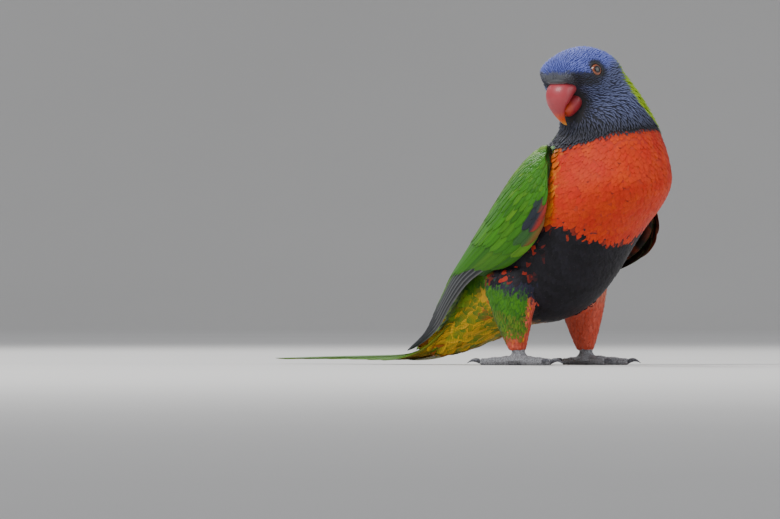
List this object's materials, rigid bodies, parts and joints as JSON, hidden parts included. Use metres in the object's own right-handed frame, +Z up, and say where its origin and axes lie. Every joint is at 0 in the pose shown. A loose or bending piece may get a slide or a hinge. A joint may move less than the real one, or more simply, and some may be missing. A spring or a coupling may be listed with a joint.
{
  "type": "rainbow lorikeet",
  "caption": "Life-size still rainbow lorikeet, standing with its head turned over its right shoulder and its long tail laid behind it.",
  "frame": {"origin": "on the floor under the middle of the whole bird's box, tail included", "axes": "+Z up, +Y along the tail to its tip, the breast looks towards -Y, the bird's left is +X"},
  "size_m": [0.0862, 0.2442, 0.1553],
  "materials": {
    "blue_feather": "soft blue feathers with paler shafts",
    "breast_feather": "soft orange-red feathers, dark blue on the belly and green on the back",
    "wing_feather": "smooth green feathers, dark grey on the primaries",
    "tail_feather": "smooth green feathers, olive yellow below",
    "thigh_feather": "soft green feathers with yellow and red flecks",
    "bill": "smooth coral red horn with an orange tip",
    "cere": "dull grey skin",
    "eye": "wet orange iris round a dark pupil",
    "foot_skin": "grey scaly skin",
    "claw": "dark grey horn"
  },
  "bodies": {
    "root": {"head": "blue_feather", "neck": "blue_feather", "bill_upper": "bill", "bill_lower": "bill", "cere": "cere", "eye_left": "eye", "eye_right": "eye", "torso": "breast_feather", "tail": "tail_feather", "wing_left": "wing_feather", "wing_right": "wing_feather", "thigh_left": "thigh_feather", "thigh_right": "thigh_feather", "foot_left": "foot_skin", "foot_right": "foot_skin", "claw_left_inner_front": "claw", "claw_left_outer_front": "claw", "claw_left_inner_back": "claw", "claw_left_outer_back": "claw", "claw_right_inner_front": "claw", "claw_right_outer_front": "claw", "claw_right_inner_back": "claw", "claw_right_outer_back": "claw"}
  },
  "joints": []
}
